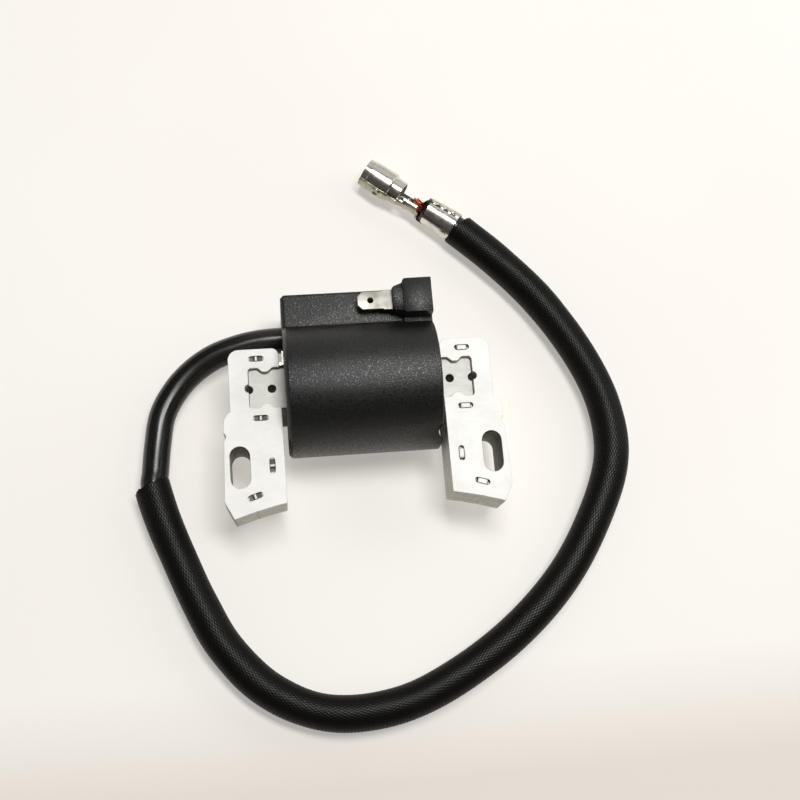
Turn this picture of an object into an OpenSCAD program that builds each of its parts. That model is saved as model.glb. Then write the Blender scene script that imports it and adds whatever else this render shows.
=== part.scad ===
// Armature ignition coil for a small engine, in millimetres.
// X runs along the core bar, the legs point to -Y towards the flywheel, and Z = 0 is the
// flat potted back that the coil stands on.

/* [Core] */
// Distance between the centres of the two mounting slots
slot_spacing = 63.5; // [62.5:0.5:65]
// Thickness of one steel lamination
plate_t = 0.75; // [0.7:0.05:0.75]
// Laminations in each leg
leg_plates = 18; // [17:1:19]
// Laminations in the core bar
bar_plates = 14; // [12:1:14]
// Width of the core bar
bar_w = 10.4; // [9.6:0.2:10.6]
// Width of a mounting slot
slot_w = 5; // [4.6:0.2:5.4]
// Length of a mounting slot over its round ends
slot_len = 10.6; // [9.6:0.2:11.2]
// Radius of the flywheel rim that the pole faces follow
flywheel_r = 112; // [105:1:125]

/* [Housing] */
// Length of the housing along the core bar
housing_len = 38.8; // [38.4:0.2:39]
// Outer radius of the barrel
barrel_r = 17; // [16.8:0.1:17.4]
// Wall thickness of the case
wall = 1.6; // [1.4:0.1:1.8]
// Clear height under the legs
leg_clear = 7.6; // [7.2:0.1:8]

/* [Kill terminal] */
// Width of the blade
blade_w = 4.75; // [4.5:0.05:4.9]
// Thickness of the blade
blade_t = 0.8; // [0.5:0.1:0.8]

/* [High tension lead] */
// Outside diameter of the lead
lead_d = 7; // [6.6:0.1:7]
// Diameter of the conductor in the lead
conductor_d = 2.4; // [1.6:0.1:2.6]
// Outside diameter of the braided sleeve
sleeve_d = 9.4; // [9:0.1:9.6]
// Bore of the braided sleeve
sleeve_bore = 7.8; // [7.6:0.1:8]

/* [Plug terminal] */
// Bore of the socket that snaps over the spark plug
socket_bore = 6.6; // [6.4:0.1:6.8]
// Depth of the socket
socket_depth = 8.7; // [8:0.1:9.2]
// Thickness of the terminal's sheet metal
sheet_t = 0.45; // [0.4:0.05:0.5]

/* [Hidden] */
$fn = 48;
eps = 0.05;

// Where the centre line of the core bar lies
leg_t = leg_plates * plate_t;
bar_t = bar_plates * plate_t;
axis_y = 3.8;
axis_z = leg_clear + leg_t / 2;

// The leg's outline, from the centre of the bar
leg_in = 20.7;
leg_top = 10.25;
leg_upper_x = 33.5;
shoulder = [[33.5, -5.7], [34.3, -6.35], [34.9, -7.1], [35.3, -8.1], [35.4, -9.2]];
foot = [36, -28.4];
toe = [33.2, -34];
pole_y = -29.6;
flywheel_y = pole_y - sqrt(flywheel_r * flywheel_r - leg_in * leg_in);
corner_in = 1.8;
corner_out = 2.7;
edge_notch = [35.95, -12];
edge_notch_r = 1.05;
slot_at = [slot_spacing / 2, -20];
rivet_r = 1.05;
rivet_x = 22.8;
// Centre and angle of each interlocking lance
lances = [[26.4, 7.7, 0], [26, -7.75, 0], [23.8, -20, 90], [28.4, -27.5, -18]];
lance_len = 3.9;
lance_w = 1.4;
lance_depth = 0.5;

// The wavy joint between bar and leg
bar_half = 28.6;
bar_corner = 0.9;
wave_x = 24.3;
wave_half = 2.1;
wave_depth = 1.1;
wave_steps = 12;
joint_gap = 0.06;

// Case, from the centre of the bar
end_x = housing_len / 2;
back_z = -axis_z;
block_y = 24.3;
block_top = 7.05;
rim_chamfer = 0.8;
rim_right = 0.3;
opening_y = -7.4;
cavity_x = end_x - wall;
cavity_r = barrel_r - wall;
cavity_y = block_y - wall;
cavity_top = block_top - wall;
potting_gap = 0.3;
window_w = 12.6;
end_notch = [19.75, -14.2];
end_notch_r = 1.6;
end_notch_z = [-4, 14];
// Connector that holds the kill blade
connector_x = 11.7;
connector_y = [15.9, 25.3];
connector_top = 12.95;
neck_x = 9;
neck_in = 1.3;
neck_drop = 0.9;
// Ledge between the connector and the barrel
ledge_x = 12.1;
ledge_y = 14.2;
ledge_h = 1.2;
ledge_r = 0.8;

// Kill blade
blade_at = [0.2, 20.4, 10.05];
blade_len = 6.5;
blade_root_w = 5.3;
blade_hole_r = 0.75;
blade_hole_x = 3.5;
blade_end_x = 14.8;
blade_chamfer = 1.2;
blade_foot_z = 2.4;
blade_foot_w = 2.2;

// Bobbins and windings round the bar
tube_half = 6.25;
tube_wall_gap = 0.1;
tube_clear = tube_half + eps;
tube_end_x = 19.3;
lug_end_x = 20.6;
lug_y = [-7.5, -5.3];
lug_top = 5;
flange_r = 10.2;
flange_x = 15.6;
flange_t = 1;
primary_half = 7.65;
primary_corner = 1.2;
wrap_t = 0.2;
secondary_in = 10.35;
secondary_tube_r = 11.1;
secondary_out = 13.6;
secondary_half = 16.4;
secondary_pitch = 4;
secondary_flange_t = 0.8;
winding_r = 13.1;

// Electronics in the block
board_y = 21.2;
board_t = 1.2;
board_pocket_y = 16.2;
board_x = [-7, 17.6];
board_z = [-12.3, 4.6];
lead_wire_x = 17.15;
lead_wire_r = 0.4;
lead_wire_y = 6.95;
lead_wire_z = [-2.4, 2.4];

// Earthing strip: along the board, down inside the left end wall, out through it, and a finger
strip_t = 0.4;
strip_z = [1.5, 5.2];
strip_board_x = -6.2;
strip_x = -17.5;
strip_out_y = 9.4;
finger_y = 6.4;
bump_r = 0.35;

// Lead socket in the case
lead_exit = [-end_x, 16.6, -8.15];
lead_in_x = -9;
contact_r = 3;
spike_len = 4;
boss_r = 4.6;
hv_wire_x = -8.72;
hv_wire_r = 0.25;

// Route of the lead from the bottom of its socket to the crimp
route = [
    [-9, 20.4, 6.2], [-13.2, 20.4, 6.2], [-19.4, 20.4, 6.2], [-26, 20.1, 6], [-32, 19, 5.6],
    [-38, 17, 5], [-43.5, 13.6, 4.3], [-48.2, 8.8, 3.9], [-51.8, 2.5, 3.8], [-53.3, -5, 3.9],
    [-54.2, -13, 4.3], [-54.5, -17, 4.8], [-52.4, -26, 4.8], [-49.1, -35.2, 4.8], [-44.3, -47.2, 4.8],
    [-38.3, -58.9, 4.8], [-28.5, -69.8, 4.8], [-15.5, -76.5, 4.8], [-1, -77.4, 4.8],
    [14, -73.5, 4.8], [32.6, -63.2, 4.8], [47.8, -50.2, 4.8], [58.6, -35.6, 4.8],
    [66.5, -18.6, 4.8], [66.8, -3.6, 4.8], [61.9, 11.4, 4.8], [52.5, 27.6, 4.8],
    [41.6, 40.5, 4.8], [31, 50.7, 4.8], [22.7, 57, 4.8]
];
conductor_first = 1;
sleeve_first = 11;
sleeve_last = 28;
route_sides = 10;

// Plug terminal, measured from the end of the lead towards the mouth
lead_end = route[len(route) - 1];
lead_before = route[len(route) - 2];
terminal_turn = atan2(lead_end[1] - lead_before[1], lead_end[0] - lead_before[0]);
crimp_len = 9.9;
crimp_r = lead_d / 2 + 0.05;
crimp_turn = 15;
neck_len = 7.9;
neck_r = 2.4;
neck_turn = 20;
neck_open = 0.6;
collar_len = 3.1;
collar_in = 3.05;
mouth_len = 1.8;
barrel_len = socket_depth - mouth_len;
socket_r = socket_bore / 2 + 2 * sheet_t;
mouth_r = socket_r - 0.2;
collar_x = neck_len;
barrel_x = collar_x + collar_len;
mouth_x = barrel_x + barrel_len;
mouth_end = mouth_x + mouth_len;
detent_x = barrel_x + 2.9;
detent_r = 1.1;

module at_core() {
    translate([0, axis_y, axis_z])
        children();
}

module at_terminal() {
    translate(lead_end)
        rotate([0, 0, terminal_turn])
            children();
}

// A solid cylinder along X from x to x + h
module x_cylinder(x, h, r) {
    translate([x, 0, 0])
        rotate([0, 90, 0])
            cylinder(h = h, r = r);
}

// A ring along X from x to x + h
module x_ring(x, h, r_in, r_out) {
    difference() {
        x_cylinder(x, h, r_out);
        x_cylinder(x - 1, h + 2, r_in);
    }
}

// A box from one corner to the other
module box(a, b) {
    translate(a)
        cube(b - a);
}

// The square tip that rounding takes off a corner; dx and dy say which way the corner points
module corner_tip(at, r, dx, dy) {
    translate(at)
        difference() {
            translate([dx > 0 ? -r : -1, dy > 0 ? -r : -1])
                square(r + 1);
            translate([-dx * r, -dy * r])
                circle(r);
        }
}

module slot_shape(length, width) {
    half = (length - width) / 2;
    square([2 * half, width], center = true);
    for (end = [-half, half])
        translate([end, 0])
            circle(width / 2);
}

// How far the wavy edge dips below the straight edge of the bar at x
function wave_dip(x) =
    abs(x - wave_x) > wave_half ? 0 :
    wave_depth * sin(45 * (1 + cos(180 * (x - wave_x) / wave_half)));

// Upper edge of the bar from its middle to one end, grown by g
function bar_edge(g) = [
    for (i = [0:wave_steps])
        let (x = wave_x - wave_half + 2 * wave_half * i / wave_steps)
            [x, bar_w / 2 + g - wave_dip(x)],
    for (a = [90:-15:0])
        [bar_half + g - bar_corner + bar_corner * cos(a), bar_w / 2 + g - bar_corner + bar_corner * sin(a)]
];

module bar_outline(g) {
    edge = bar_edge(g);
    last = len(edge) - 1;
    lower = [for (i = [last:-1:0]) [edge[i][0], -edge[i][1]]];
    half = concat(edge, lower);
    opposite = [for (i = [2 * last + 1:-1:0]) [-half[i][0], half[i][1]]];
    polygon(concat(half, opposite));
}

module leg_outline() {
    difference() {
        polygon(concat(
            [[leg_in, leg_top], [leg_upper_x, leg_top]],
            shoulder,
            [foot, toe, [leg_in, toe[1]]]
        ));
        corner_tip([leg_in, leg_top], corner_in, -1, 1);
        corner_tip([leg_upper_x, leg_top], corner_out, 1, 1);
        translate(edge_notch)
            circle(edge_notch_r);
        translate([0, flywheel_y])
            circle(flywheel_r, $fn = 360);
        translate(slot_at)
            rotate(90)
                slot_shape(slot_len, slot_w);
        bar_outline(joint_gap);
        translate([bar_half, 0])
            circle(rivet_r);
    }
}

module lance_pockets() {
    for (lance = lances)
        translate([lance[0], lance[1], leg_t / 2 - lance_depth])
            rotate([0, 0, lance[2]])
                linear_extrude(lance_depth + 1)
                    slot_shape(lance_len, lance_w);
}

module leg() {
    color("gainsboro")
        difference() {
            translate([0, 0, -leg_t / 2])
                linear_extrude(leg_t)
                    leg_outline();
            lance_pockets();
        }
}

module right_leg() {
    at_core()
        leg();
}

module left_leg() {
    at_core()
        mirror([1, 0, 0])
            leg();
}

module core_bar() {
    color("darkgray")
        at_core()
            translate([0, 0, -bar_t / 2])
                linear_extrude(bar_t)
                    difference() {
                        bar_outline(0);
                        for (side = [-1, 1]) {
                            translate([side * bar_half, 0])
                                circle(rivet_r);
                            translate([side * rivet_x, 0])
                                circle(rivet_r);
                        }
                    }
}

// Barrel and block as one filled shape
module case_body() {
    intersection() {
        rotate([0, 90, 0])
            rotate_extrude($fn = 96)
                polygon([
                    [0, -end_x], [barrel_r - rim_chamfer, -end_x], [barrel_r, -end_x + rim_chamfer],
                    [barrel_r, end_x - rim_right], [barrel_r - rim_right, end_x], [0, end_x]
                ]);
        box([-end_x, -barrel_r - 1, back_z], [end_x, barrel_r + 1, barrel_r + 1]);
    }
    translate([0, block_y, 0])
        rotate([90, 0, 0])
            linear_extrude(block_y)
                polygon([
                    [-end_x, back_z], [end_x, back_z], [end_x, block_top],
                    [-end_x + rim_chamfer, block_top], [-end_x, block_top - rim_chamfer]
                ]);
}

module connector_body() {
    box([connector_x, connector_y[0], 0], [end_x, connector_y[1], connector_top]);
    box([ledge_x, ledge_y + ledge_r, 0], [end_x, connector_y[0] + 1, block_top + ledge_h]);
    box([ledge_x, ledge_y, 0], [end_x, connector_y[0], block_top + ledge_h - ledge_r]);
    translate([0, ledge_y + ledge_r, block_top + ledge_h - ledge_r])
        x_cylinder(ledge_x, end_x - ledge_x, ledge_r);
    translate([0, 0, block_top - 1])
        linear_extrude(connector_top - neck_drop - block_top + 1)
            polygon([
                [neck_x, connector_y[0] + neck_in], [connector_x + 1, connector_y[0] + 0.7],
                [connector_x + 1, connector_y[1] - 0.7], [neck_x, connector_y[1] - neck_in - 0.8]
            ]);
}

module case_cavity() {
    x_cylinder(-cavity_x, 2 * cavity_x, cavity_r);
    box([-cavity_x, 0, back_z - 1], [cavity_x, cavity_y, cavity_top]);
    box([-cavity_x, opening_y, back_z - 1], [cavity_x, 1, back_z + wall]);
}

// Openings in the end walls that the bobbin tube lies in
module tube_windows(g) {
    box([-end_x - g, -window_w / 2, back_z - g], [end_x + g, window_w / 2, window_w / 2]);
}

module blade_path(g) {
    half = blade_root_w / 2 + g;
    foot = blade_foot_w / 2 + g;
    y = blade_at[1];
    z = blade_at[2];
    box([neck_x - 1, y - half, z - blade_t / 2 - g], [blade_end_x + g, y + half, z + blade_t / 2 + g]);
    box([blade_end_x - blade_t - g, y - 1.5 - foot, blade_foot_z - g], [blade_end_x + g, y - 1.5 + foot, z]);
}

module ground_strip(g) {
    low = strip_z[0] - g;
    high = strip_z[1] + g;
    inner_x = strip_x + strip_t;
    board_side = board_y - eps;
    box([-end_x - eps - strip_t, strip_out_y - g, low], [inner_x + g, strip_out_y + strip_t + g, high]);
    box([strip_x - g, strip_out_y - g, low], [inner_x + g, board_side + g, high]);
    box([strip_x - g, board_side - strip_t - g, low], [strip_board_x + g, board_side + g, high]);
}

module housing() {
    color([0.11, 0.115, 0.11])
        at_core()
            difference() {
                union() {
                    case_body();
                    connector_body();
                }
                difference() {
                    case_cavity();
                    translate([0, lead_exit[1], lead_exit[2]])
                        difference() {
                            x_cylinder(-end_x, lead_in_x + end_x, boss_r);
                            x_cylinder(-end_x - 1, lead_in_x + end_x + 2, lead_d / 2 + eps);
                        }
                }
                x_cylinder(-cavity_x, 2 * cavity_x, secondary_out + 0.1);
                tube_windows(1);
                translate([0, lead_exit[1], lead_exit[2]])
                    x_cylinder(-end_x - 1, 4, lead_d / 2 + eps);
                blade_path(eps);
                ground_strip(eps);
                translate([end_notch[0] - 19.4 + end_x, end_notch[1], end_notch_z[0]])
                    cylinder(h = end_notch_z[1] - end_notch_z[0], r = end_notch_r);
            }
}

module lead_socket_space() {
    translate([0, lead_exit[1], lead_exit[2]])
        x_cylinder(-end_x - 1, lead_in_x + end_x + 2.4, boss_r + eps);
}

module potting() {
    color([0.2, 0.19, 0.17])
        at_core()
            difference() {
                intersection() {
                    union() {
                        case_cavity();
                        tube_windows(0);
                    }
                    box([-end_x, -barrel_r, back_z + potting_gap], [end_x, block_y, barrel_r]);
                }
                x_cylinder(-cavity_x - 1, 2 * cavity_x + 2, secondary_out + 0.1 - eps);
                box([-end_x - 1, -tube_clear, -tube_clear], [end_x + 1, tube_clear, barrel_r]);
                lead_socket_space();
                box([board_x[0] - eps, board_pocket_y, board_z[0] - eps],
                    [cavity_x + 1, board_y + board_t + eps, cavity_top + 1]);
                box([lead_wire_x - 0.6, winding_r, -3.2], [cavity_x + 1, board_pocket_y + 1, 3.2]);
                ground_strip(eps);
                hv_wire_rod(hv_wire_r + eps);
            }
}

module primary_bobbin() {
    inside = bar_w / 2 + tube_wall_gap;
    color([0.14, 0.14, 0.15])
        at_core()
            difference() {
                union() {
                    box([-tube_end_x, -tube_half, -tube_half], [tube_end_x, tube_half, tube_half]);
                    box([-lug_end_x, -tube_half, -tube_half], [lug_end_x, lug_y[1], lug_top]);
                    for (side = [-1, 1])
                        box([side > 0 ? end_x + eps : -lug_end_x, lug_y[0], -tube_half],
                            [side > 0 ? lug_end_x : -end_x - eps, lug_y[1], lug_top]);
                    for (side = [-1, 1])
                        x_cylinder(side > 0 ? flange_x : -flange_x - flange_t, flange_t, flange_r);
                }
                box([-tube_end_x - 1, -inside, -bar_t / 2 - tube_wall_gap],
                    [tube_end_x + 1, inside, bar_t / 2 + tube_wall_gap]);
                for (z = lead_wire_z)
                    translate([0, lead_wire_y, z])
                        x_cylinder(flange_x - 1, flange_t + 2, lead_wire_r + eps);
            }
}

// A square with round corners
module round_square(half, r) {
    square([2 * half, 2 * (half - r)], center = true);
    square([2 * (half - r), 2 * half], center = true);
    for (x = [-1, 1], y = [-1, 1])
        translate([x * (half - r), y * (half - r)])
            circle(r);
}

module square_coil(length, half_in, half_out, r) {
    translate([-length / 2, 0, 0])
        rotate([0, 90, 0])
            linear_extrude(length)
                difference() {
                    round_square(half_out, r);
                    square(2 * half_in, center = true);
                }
}

module primary_winding() {
    color([0.72, 0.38, 0.2])
        at_core()
            square_coil(2 * flange_x - 2 * eps, tube_clear, primary_half - wrap_t - eps, primary_corner);
}

module primary_wrap() {
    length = 2 * flange_x - 2 * eps;
    color([0.85, 0.75, 0.4])
        at_core()
            translate([-length / 2, 0, 0])
                rotate([0, 90, 0])
                    linear_extrude(length)
                        difference() {
                            round_square(primary_half, primary_corner + wrap_t);
                            round_square(primary_half - wrap_t, primary_corner);
                        }
}

module primary_leads() {
    color([0.75, 0.4, 0.2])
        at_core()
            for (z = lead_wire_z) {
                translate([0, lead_wire_y, z])
                    x_cylinder(flange_x + eps, lead_wire_x - flange_x, lead_wire_r);
                translate([lead_wire_x, board_y - eps, z])
                    rotate([90, 0, 0])
                        cylinder(h = board_y - eps - lead_wire_y, r = lead_wire_r);
            }
}

module secondary_bobbin() {
    color([0.9, 0.88, 0.8])
        at_core()
            difference() {
                union() {
                    x_cylinder(-secondary_half, 2 * secondary_half, secondary_tube_r);
                    for (x = [-4 * secondary_pitch:secondary_pitch:4 * secondary_pitch])
                        x_cylinder(x - secondary_flange_t / 2, secondary_flange_t, secondary_out);
                }
                x_cylinder(-secondary_half - 1, 2 * secondary_half + 2, secondary_in);
            }
}

module secondary_winding() {
    inset = secondary_flange_t / 2 + eps;
    color([0.6, 0.25, 0.12])
        at_core()
            for (x = [-4 * secondary_pitch:secondary_pitch:3 * secondary_pitch])
                x_ring(x + inset, secondary_pitch - 2 * inset, secondary_tube_r + eps, winding_r);
}

module circuit_board() {
    color([0.13, 0.35, 0.16])
        at_core()
            difference() {
                box([board_x[0], board_y, board_z[0]], [board_x[1], board_y + board_t, board_z[1]]);
                for (x = [-2.5, 0, 2.5])
                    translate([x, board_y - 1, -11])
                        rotate([-90, 0, 0])
                            cylinder(h = board_t + 2, r = 0.6);
            }
}

// Switching transistor with its metal tab and three legs bent into the board
module power_transistor() {
    color([0.16, 0.16, 0.17])
        at_core() {
            box([-5, 16.6, -8.6], [5, 20.4, 0.2]);
            difference() {
                box([-5, 19.1, 0.2], [5, 20.4, 3.9]);
                translate([0, 18, 2.1])
                    rotate([-90, 0, 0])
                        cylinder(h = 4, r = 1.6);
            }
            for (x = [-2.5, 0, 2.5]) {
                box([x - 0.35, 18.2, -11.3], [x + 0.35, 18.7, -8.6]);
                box([x - 0.35, 18.2, -11.3], [x + 0.35, board_y + board_t, -10.7]);
            }
        }
}

module control_chip() {
    color([0.1, 0.1, 0.11])
        at_core() {
            box([7, 19.6, -1.5], [12, 21, 2.5]);
            for (x = [7.6:1.27:11.5], z = [-2.4, 2.5])
                box([x - 0.2, 20.6, z], [x + 0.2, board_y - eps, z + 0.9]);
        }
}

module bias_resistors() {
    color([0.75, 0.65, 0.45])
        at_core()
            for (z = [-10.6, -7.6])
                translate([0, 19.9, z]) {
                    x_cylinder(11, 4.4, 1);
                    x_cylinder(9.8, 6.8, 0.3);
                }
}

module capacitor() {
    color([0.8, 0.5, 0.15])
        at_core()
            translate([7.6, board_y - eps, -5.4])
                rotate([90, 0, 0])
                    cylinder(h = 2.4, r = 1.8);
}

// Quick-connect blade, with its foot bent down to the board
module kill_terminal() {
    x0 = blade_at[0];
    y = blade_at[1];
    z = blade_at[2];
    half = blade_w / 2;
    root = blade_root_w / 2;
    shoulder = x0 + blade_len;
    color([0.86, 0.86, 0.84])
        at_core() {
            translate([0, y, z - blade_t / 2])
                linear_extrude(blade_t)
                    difference() {
                        polygon([
                            [x0, -half + blade_chamfer], [x0 + blade_chamfer, -half], [shoulder, -half],
                            [shoulder, -root], [blade_end_x, -root], [blade_end_x, root],
                            [shoulder, root], [shoulder, half], [x0 + blade_chamfer, half],
                            [x0, half - blade_chamfer]
                        ]);
                        translate([blade_hole_x, 0])
                            circle(blade_hole_r);
                    }
            box([blade_end_x - blade_t, y - 1.5 - blade_foot_w / 2, blade_foot_z],
                [blade_end_x, y - 1.5 + blade_foot_w / 2, z]);
        }
}

// Strip that earths the electronics against the inner edge of the left leg
module ground_spring() {
    low = strip_z[0];
    high = strip_z[1];
    wall_x = -end_x - eps;
    bump_x = -leg_in + eps + bump_r;
    color([0.8, 0.8, 0.78])
        at_core() {
            ground_strip(0);
            box([wall_x - strip_t, finger_y, low], [wall_x, strip_out_y + strip_t, high]);
            translate([bump_x, finger_y, low])
                cylinder(h = high - low, r = bump_r);
            box([bump_x, finger_y - 0.3, low], [wall_x, finger_y + 0.2, high]);
        }
}

// Brass contact whose spike is driven into the end of the lead
module hv_contact() {
    spike_r = conductor_d / 2 - 0.1;
    color("goldenrod")
        at_core()
            translate([0, lead_exit[1], lead_exit[2]]) {
                x_cylinder(lead_in_x + eps, 1.1, contact_r);
                translate([lead_in_x + 0.2, 0, 0])
                    rotate([0, -90, 0])
                        cylinder(h = spike_len, r1 = spike_r, r2 = 0.3);
            }
}

// Short wire from the secondary winding to the contact
module hv_wire_rod(r) {
    lean = atan2(lead_exit[2], lead_exit[1]);
    reach = norm([lead_exit[1], lead_exit[2]]) - contact_r - eps;
    translate([hv_wire_x, 0, 0])
        rotate([lean, 0, 0])
            rotate([-90, 0, 0])
                translate([0, 0, winding_r + eps])
                    cylinder(h = reach - winding_r - eps, r = r);
}

module hv_output_wire() {
    color([0.75, 0.4, 0.2])
        at_core()
            hv_wire_rod(hv_wire_r);
}

// Sweeping along the route: a unit direction, a sideways unit and an upward unit at each point
function unit(v) = v / norm(v);
function route_dir(p, i) = unit(p[min(i + 1, len(p) - 1)] - p[max(i - 1, 0)]);
function ring(p, i, r) =
    let (
        ahead = route_dir(p, i),
        side = unit(cross([0, 0, 1], ahead)),
        up = cross(ahead, side)
    )
    [for (k = [0:route_sides - 1])
        p[i] + r * (cos(360 * k / route_sides) * side + sin(360 * k / route_sides) * up)];

// A hose along p, with outer radius r_out and a round hole of radius r_in
module hose(p, r_in, r_out) {
    n = route_sides;
    m = len(p);
    outer = [for (i = [0:m - 1]) each ring(p, i, r_out)];
    inner = [for (i = [0:m - 1]) each ring(p, i, r_in)];
    shift = n * m;
    skin = [for (i = [0:m - 2], k = [0:n - 1])
        [n * i + k, n * (i + 1) + k, n * (i + 1) + (k + 1) % n, n * i + (k + 1) % n]];
    hole = [for (f = skin) [shift + f[3], shift + f[2], shift + f[1], shift + f[0]]];
    start = [for (k = [0:n - 1]) [k, (k + 1) % n, shift + (k + 1) % n, shift + k]];
    far = n * (m - 1);
    finish = [for (f = start) [f[3] + far, f[2] + far, f[1] + far, f[0] + far]];
    polyhedron(concat(outer, inner), concat(skin, hole, start, finish), convexity = 10);
}

// A solid rod along p
module rod(p, r) {
    n = route_sides;
    m = len(p);
    skin = [for (i = [0:m - 2], k = [0:n - 1])
        [n * i + k, n * (i + 1) + k, n * (i + 1) + (k + 1) % n, n * i + (k + 1) % n]];
    ends = [[for (k = [0:n - 1]) k], [for (k = [n - 1:-1:0]) n * (m - 1) + k]];
    polyhedron([for (i = [0:m - 1]) each ring(p, i, r)], concat(skin, ends), convexity = 10);
}

function part_of(p, first, last) = [for (i = [first:last]) p[i]];

module hv_lead() {
    color([0.07, 0.07, 0.07])
        hose(route, conductor_d / 2 + 0.1, lead_d / 2);
}

module lead_conductor() {
    color([0.72, 0.4, 0.25])
        rod(part_of(route, conductor_first, len(route) - 1), conductor_d / 2);
}

module braided_sleeve() {
    color([0.05, 0.05, 0.05])
        hose(part_of(route, sleeve_first, sleeve_last), sleeve_bore / 2, sleeve_d / 2);
}

// Rolled sheet metal clip: crimp, open neck, collar, barrel and mouth
module plug_terminal() {
    color([0.8, 0.8, 0.76])
        at_terminal() {
            rotate([crimp_turn, 0, 0])
                difference() {
                    x_ring(-crimp_len, crimp_len + sheet_t + 3 * eps, crimp_r, crimp_r + sheet_t);
                    box([-crimp_len - 1, -0.5, 0], [1, 0.5, crimp_r + 1]);
                }
            rotate([neck_turn, 0, 0])
                difference() {
                    union() {
                        x_ring(eps, sheet_t, neck_r, crimp_r + sheet_t / 2);
                        x_ring(eps, neck_len, neck_r, neck_r + sheet_t);
                        x_ring(neck_len - sheet_t, sheet_t, neck_r, collar_in + sheet_t / 2);
                    }
                    box([-1, -crimp_r - 1, neck_open], [neck_len + 1, crimp_r + 1, crimp_r + 1]);
                }
            x_ring(collar_x - sheet_t / 2, collar_len + sheet_t / 2, collar_in, collar_in + sheet_t);
            x_ring(barrel_x - sheet_t, sheet_t, collar_in, socket_r);
            difference() {
                union() {
                    x_ring(barrel_x, barrel_len, socket_bore / 2, socket_r);
                    x_ring(mouth_x, mouth_len, socket_bore / 2, mouth_r);
                }
                translate([detent_x, 0, 0])
                    rotate([-90, 0, 0])
                        cylinder(h = socket_r + 1, r = detent_r + eps);
            }
        }
}

// Flat spring strip in the socket, with the button that shows through its window
module detent_spring() {
    color([0.7, 0.7, 0.66])
        at_terminal()
            translate([detent_x, 0, 0])
                rotate([-90, 0, 0])
                    translate([0, 0, socket_bore / 2 + eps])
                        cylinder(h = socket_r - socket_bore / 2 + 0.3, r1 = detent_r, r2 = detent_r - 0.3);
}

left_leg();
right_leg();
core_bar();
housing();
potting();
primary_bobbin();
primary_winding();
primary_wrap();
secondary_bobbin();
secondary_winding();
primary_leads();
circuit_board();
power_transistor();
control_chip();
bias_resistors();
capacitor();
kill_terminal();
ground_spring();
hv_contact();
hv_output_wire();
hv_lead();
lead_conductor();
braided_sleeve();
plug_terminal();
detent_spring();
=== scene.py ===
"""Looks of the armature ignition coil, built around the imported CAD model.

Lengths are in millimetres up to the meshes themselves, which are in metres. X runs along the
core bar, Y away from the flywheel, and Z is up from the flat back that the coil stands on.
"""

import math
import random

import bmesh
import bpy
from mathutils import Matrix, Vector


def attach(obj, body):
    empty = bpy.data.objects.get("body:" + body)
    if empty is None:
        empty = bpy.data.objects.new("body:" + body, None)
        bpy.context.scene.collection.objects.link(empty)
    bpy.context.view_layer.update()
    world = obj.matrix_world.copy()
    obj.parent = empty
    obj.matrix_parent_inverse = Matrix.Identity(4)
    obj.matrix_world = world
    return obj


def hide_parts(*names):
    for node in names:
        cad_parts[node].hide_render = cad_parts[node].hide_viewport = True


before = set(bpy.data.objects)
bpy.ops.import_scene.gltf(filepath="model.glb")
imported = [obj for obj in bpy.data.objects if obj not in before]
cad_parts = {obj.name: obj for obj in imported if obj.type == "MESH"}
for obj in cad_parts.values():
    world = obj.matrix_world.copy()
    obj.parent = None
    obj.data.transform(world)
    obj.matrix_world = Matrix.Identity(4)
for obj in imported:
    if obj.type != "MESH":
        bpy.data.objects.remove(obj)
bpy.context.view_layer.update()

MM = 0.001
BODY = "root"
rng = random.Random(763)

# ---------------- the part's own dimensions

AXIS_Y = 3.8
LEG_CLEAR = 7.6
PLATE_T = 0.75
LEG_PLATES = 18
BAR_PLATES = 14
LEG_T = LEG_PLATES * PLATE_T
BAR_T = BAR_PLATES * PLATE_T
AXIS_Z = LEG_CLEAR + LEG_T / 2
AXIS = Vector((0, AXIS_Y, AXIS_Z))

LEG_IN = 20.7
LEG_TOP = 10.25
LEG_UPPER_X = 33.5
SHOULDER = ((33.5, -5.7), (34.3, -6.35), (34.9, -7.1), (35.3, -8.1), (35.4, -9.2))
FOOT = (36.0, -28.4)
EDGE_NOTCH = (35.95, -12.0)
EDGE_NOTCH_R = 1.05
TOE = (33.2, -34.0)
POLE_Y = -29.6
FLYWHEEL_R = 112.0
FLYWHEEL_Y = POLE_Y - math.sqrt(FLYWHEEL_R ** 2 - LEG_IN ** 2)
SLOT_AT = (31.75, -20.0)
SLOT_W = 5.0
SLOT_LEN = 10.6
RIVET_R = 1.05
RIVET_X = 22.8
BAR_HALF = 28.6
BAR_W = 10.4
DIP_X = 24.3
DIP_HALF = 2.1
DIP_DEPTH = 1.1
LANCES = ((26.4, 7.7, 0), (26.0, -7.75, 0), (23.8, -20.0, 90), (28.4, -27.5, -18))
LANCE_LEN = 3.9
LANCE_W = 1.4

END_X = 19.4
BARREL_R = 17.0
BACK_Z = -AXIS_Z
BLOCK_Y = 24.3
BLOCK_TOP = 7.05
WALL = 1.6
WINDOW_W = 12.6

LEAD_D = 7.0
SLEEVE_D = 9.4
SLEEVE_BORE = 7.8
CONDUCTOR_D = 2.4

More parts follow.
